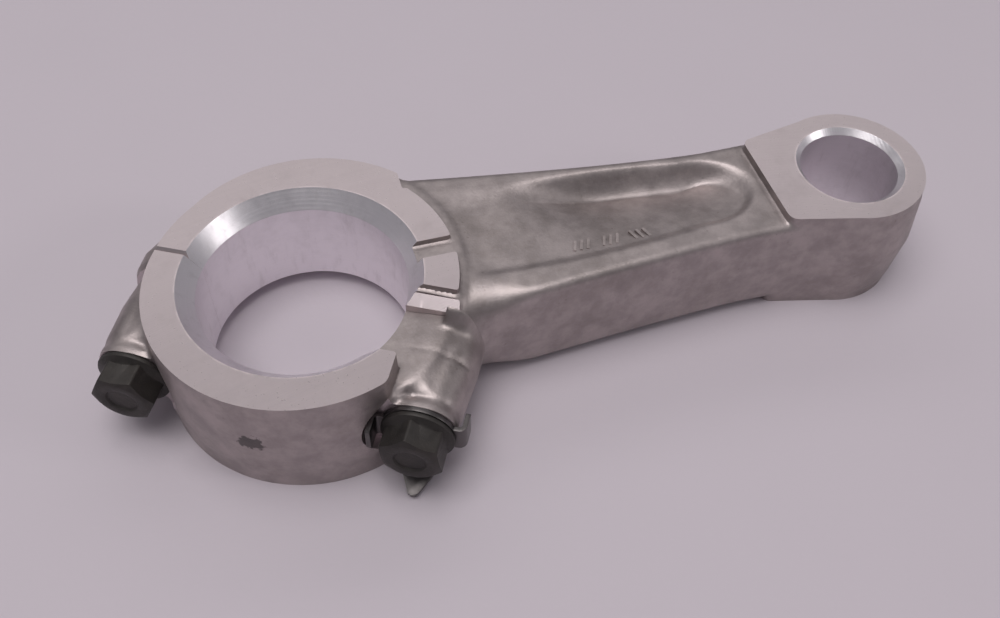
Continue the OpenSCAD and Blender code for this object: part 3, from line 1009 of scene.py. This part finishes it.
def screw_piece(name, s):
    """One flanged screw about z: z = 0 is the bearing face of its flange."""
    r, head = s.flange / MM / 2, s.head / MM
    hexa = hexagon(name, s.across / MM, head + 1)
    crown = [(0, 0.1), (7, 0.1), (7, head - 1.15), (5.05, head - 0.42), (4.45, head - 0.08),
             (4.2, head), (3.1, head), (2.75, head - 0.1), (2.5, head - 0.4), (0, head - 0.45)]
    combine(hexa, lathe("crown", crown, 96), "INTERSECT")
    flange = [(0, 0), (r - 0.25, 0), (r - 0.07, 0.07), (r, 0.25), (r, 0.55), (r - 0.1, 0.78),
              (r - 0.35, 0.92), (5.3, 1.25), (4.9, 1.5), (4.7, 1.9), (0, 1.9)]
    combine(hexa, lathe("flange", flange, 128), "UNION")
    reach = s.reach / MM
    thread = grown("thread", thread_tree(), {
        "Crest Radius": s.diameter / MM / 2, "Depth": 0.48, "Pitch": s.pitch / MM,
        "Length": reach + 0.5, "Threaded": s.thread / MM, "Columns": 49, "Rows": 340,
        "Material": material("screw")})
    tidy_normals(thread)
    moved(thread, Matrix.Translation((0, 0, -reach)))
    combine(hexa, thread, "UNION")
    hexa.data.materials.clear()
    hexa.data.materials.append(material("screw"))
    return hexa


class BuildScrews(bpy.types.Operator):
    """Makes the two flanged hexagon screws with their rolled threads"""
    bl_idname = "connecting_rod.screws"
    bl_label = "Screws"

    def execute(self, context):
        s = scene_settings().screw
        seat = scene_settings().casting.seat / MM
        sheet = scene_settings().plate.sheet / MM
        for name, side, w, turn in (("near", 1, seat + sheet + 0.05, 8),
                                    ("far", -1, seat + 0.03, 33)):
            screw = screw_piece("screw_" + name + "_body", s)
            spin = Matrix.Rotation(math.radians(turn), 4, "Z")
            moved(screw, screw_matrix(side, w) @ spin)
            finish(screw, "screw_" + name, ["screw_" + name], "screw_steel", 32)
        return {"FINISHED"}


def arc(r, start, end, steps):
    """Points on a circle about the origin, angles in degrees."""
    angles = [math.radians(start + (end - start) * i / steps) for i in range(steps + 1)]
    return [(r * math.cos(a), r * math.sin(a)) for a in angles]


def fold(points, way, start, bend, angle):
    """Bends the part of a flat sheet that lies past start in the plan direction way: up for a
    positive angle, down for a negative one."""
    sign, full = math.copysign(1, angle), abs(angle)
    for p in points:
        past = p.x * way[0] + p.y * way[1] - start
        if past <= 0:
            continue
        turned = min(past / bend, full)
        rest = past - bend * turned
        ahead = start + bend * math.sin(turned) + rest * math.cos(turned)
        shift = ahead - start - past
        p.x += way[0] * shift
        p.y += way[1] * shift
        p.z += sign * (bend * (1 - math.cos(turned)) + rest * math.sin(turned))


class BuildLockPlate(bpy.types.Operator):
    """Stamps and folds the lock plate with its two tabs and its splash tongue"""
    bl_idname = "connecting_rod.lock_plate"
    bl_label = "Lock Plate"

    def execute(self, context):
        p = scene_settings().plate
        r, tab, tip = p.radius / MM, p.tab / MM / 2, p.tongue / MM
        corner = math.degrees(math.asin(tab / r))
        root = math.degrees(math.asin(4.3 / r))
        outline = [(10.2, -tab + 0.3), (10.2, tab - 0.3), (9.9, tab)]
        outline += arc(r, corner, 180 - corner, 28)
        outline += [(-10.3, tab), (-10.6, tab - 0.3), (-10.6, -tab + 0.3), (-10.3, -tab)]
        outline += arc(r, 180 + corner, 270 - root, 8)
        outline += [(-3.9, -8.4), (-1.0, 0.7 - tip), (-0.75, 0.25 - tip), (-0.3, -tip)]
        outline += [(-x, y) for x, y in outline[-1:-5:-1]]
        outline += arc(r, 270 + root, 360 - corner, 8) + [(9.9, -tab)]
        hole = arc(p.hole / MM / 2, 360, 0, 56)[:-1]
        bm = bmesh.new()
        for loop in (outline, hole):
            verts = [bm.verts.new((x, y, 0)) for x, y in loop]
            for a, b in zip(verts, verts[1:] + verts[:1]):
                bm.edges.new((a, b))
        bmesh.ops.triangle_fill(bm, use_beauty=True, use_dissolve=False, edges=bm.edges[:])
        folds = (((-1, 0), 6.5, math.radians(90)), ((1, 0), 6.4, math.radians(-90)),
                 ((0, -1), 7.9, math.radians(75)))
        bend = p.bend / MM
        for way, start, angle in folds:
            for i in range(9):
                at = start + bend * abs(angle) * i / 8
                bmesh.ops.bisect_plane(bm, geom=bm.verts[:] + bm.edges[:] + bm.faces[:],
                                       plane_co=(way[0] * at, way[1] * at, 0),
                                       plane_no=(way[0], way[1], 0))
        for way, start, angle in folds:
            fold([v.co for v in bm.verts], way, start, bend, angle)
        bmesh.ops.recalc_face_normals(bm, faces=bm.faces)
        mesh = bpy.data.meshes.new("lock_plate_body")
        bm.to_mesh(mesh)
        bm.free()
        plate = new_object("lock_plate_body", mesh)
        thick = plate.modifiers.new("sheet", "SOLIDIFY")
        thick.thickness, thick.offset, thick.use_even_offset = p.sheet / MM, 0.0, True
        edge = plate.modifiers.new("edge", "BEVEL")
        edge.width, edge.segments, edge.limit_method = 0.09, 2, "ANGLE"
        edge.angle_limit = math.radians(50)
        settle(plate)
        tidy_normals(plate)
        seat = scene_settings().casting.seat / MM
        moved(plate, screw_matrix(1, seat + 0.02 + p.sheet / MM / 2))
        plate.data.materials.clear()
        plate.data.materials.append(material("plate"))
        finish(plate, "cap", ["lock_plate"], "plate_steel", 40)
        return {"FINISHED"}


class BuildStage(bpy.types.Operator):
    """Sets the floor, the soft lights and the camera"""
    bl_idname = "connecting_rod.stage"
    bl_label = "Stage"

    def execute(self, context):
        s = scene_settings().stage
        scene = context.scene
        floor_z = -HALF - 0.02
        floor = plain("floor", [(-2500, -2500, floor_z), (2500, -2500, floor_z),
                                (2500, 2500, floor_z), (-2500, 2500, floor_z)], [(0, 1, 2, 3)])
        floor.data.transform(Matrix.Scale(MM, 4))
        cloth, tree, shader, at = new_material("pale_table", 0.0)
        weave = noise(tree, at, 900.0, 3.0)
        base = mix(tree, noise(tree, at, 30.0, 2.0), tint(s.floor, 0.985), tint(s.floor, 1.015))
        rough = calc(tree, "MULTIPLY_ADD", weave, 0.1, 0.6)
        surface(tree, shader, base, rough, weave, 0.00003)
        floor.data.materials.append(cloth)
        self.camera(scene, s)
        self.lights(scene)
        return {"FINISHED"}

    def camera(self, scene, s):
        az, el, roll = s.azimuth, s.elevation, s.roll
        back = Vector((math.sin(az) * math.cos(el), -math.cos(az) * math.cos(el), math.sin(el)))
        right = Vector((math.cos(az), math.sin(az), 0))
        up = back.cross(right)
        turned = right * math.cos(roll) + up * math.sin(roll)
        up = up * math.cos(roll) - right * math.sin(roll)
        data = bpy.data.cameras.new("camera")
        data.lens, data.clip_start = s.focal, 0.005
        camera = bpy.data.objects.new("camera", data)
        scene.collection.objects.link(camera)
        camera.matrix_world = (Matrix.Translation(Vector(s.target) + back * s.distance)
                               @ Matrix((turned, up, back)).transposed().to_4x4())
        scene.camera = camera

    def lights(self, scene):
        world = bpy.data.worlds.new("soft_room")
        world.use_nodes = True
        sky = world.node_tree.nodes["Background"]
        sky.inputs["Color"].default_value = (0.95, 0.93, 1.0, 1.0)
        sky.inputs["Strength"].default_value = 0.2
        scene.world = world
        for name, place, size, power in (
                ("overhead", (-0.12, -0.06, 1.0), (0.7, 0.7), 6.0),
                ("back_wall", (0.15, 1.05, 1.06), (2.3, 0.42), 2.6),
                ("front_left", (-0.38, -0.367, 0.728), (0.13, 0.13), 0.05),
                ("front_right", (0.70, -0.37, 0.42), (0.16, 0.16), 0.7)):
            lamp = bpy.data.lights.new(name, "AREA")
            lamp.shape, lamp.energy = "RECTANGLE", power
            lamp.size, lamp.size_y = size
            lamp.color = (1.0, 0.975, 0.97)
            obj = bpy.data.objects.new(name, lamp)
            scene.collection.objects.link(obj)
            obj.location = place
            obj.rotation_euler = (-Vector(place)).to_track_quat("-Z", "Y").to_euler()
        scene.view_settings.view_transform = "Standard"


class RodPanel(bpy.types.Panel):
    """Lists the rod's pieces"""
    bl_idname = "VIEW3D_PT_connecting_rod"
    bl_label = "Connecting Rod"
    bl_space_type = "VIEW_3D"
    bl_region_type = "UI"
    bl_category = "Connecting Rod"

    def draw(self, context):
        for operator in OPERATORS:
            self.layout.operator(operator.bl_idname)


OPERATORS = (BuildRod, BuildCap, BuildScrews, BuildLockPlate, BuildStage)
CLASSES = (CastingSettings, ScrewSettings, PlateSettings, FinishSettings, StageSettings,
           RodSettings) + OPERATORS + (RodPanel,)


def register():
    for cls in CLASSES:
        bpy.utils.register_class(cls)
    bpy.types.Scene.connecting_rod = PointerProperty(type=RodSettings)


def unregister():
    del bpy.types.Scene.connecting_rod
    for cls in reversed(CLASSES):
        bpy.utils.unregister_class(cls)


def main():
    register()
    for operator in ("rod", "cap", "screws", "lock_plate", "stage"):
        getattr(bpy.ops.connecting_rod, operator)()


if __name__ == "__main__":
    main()
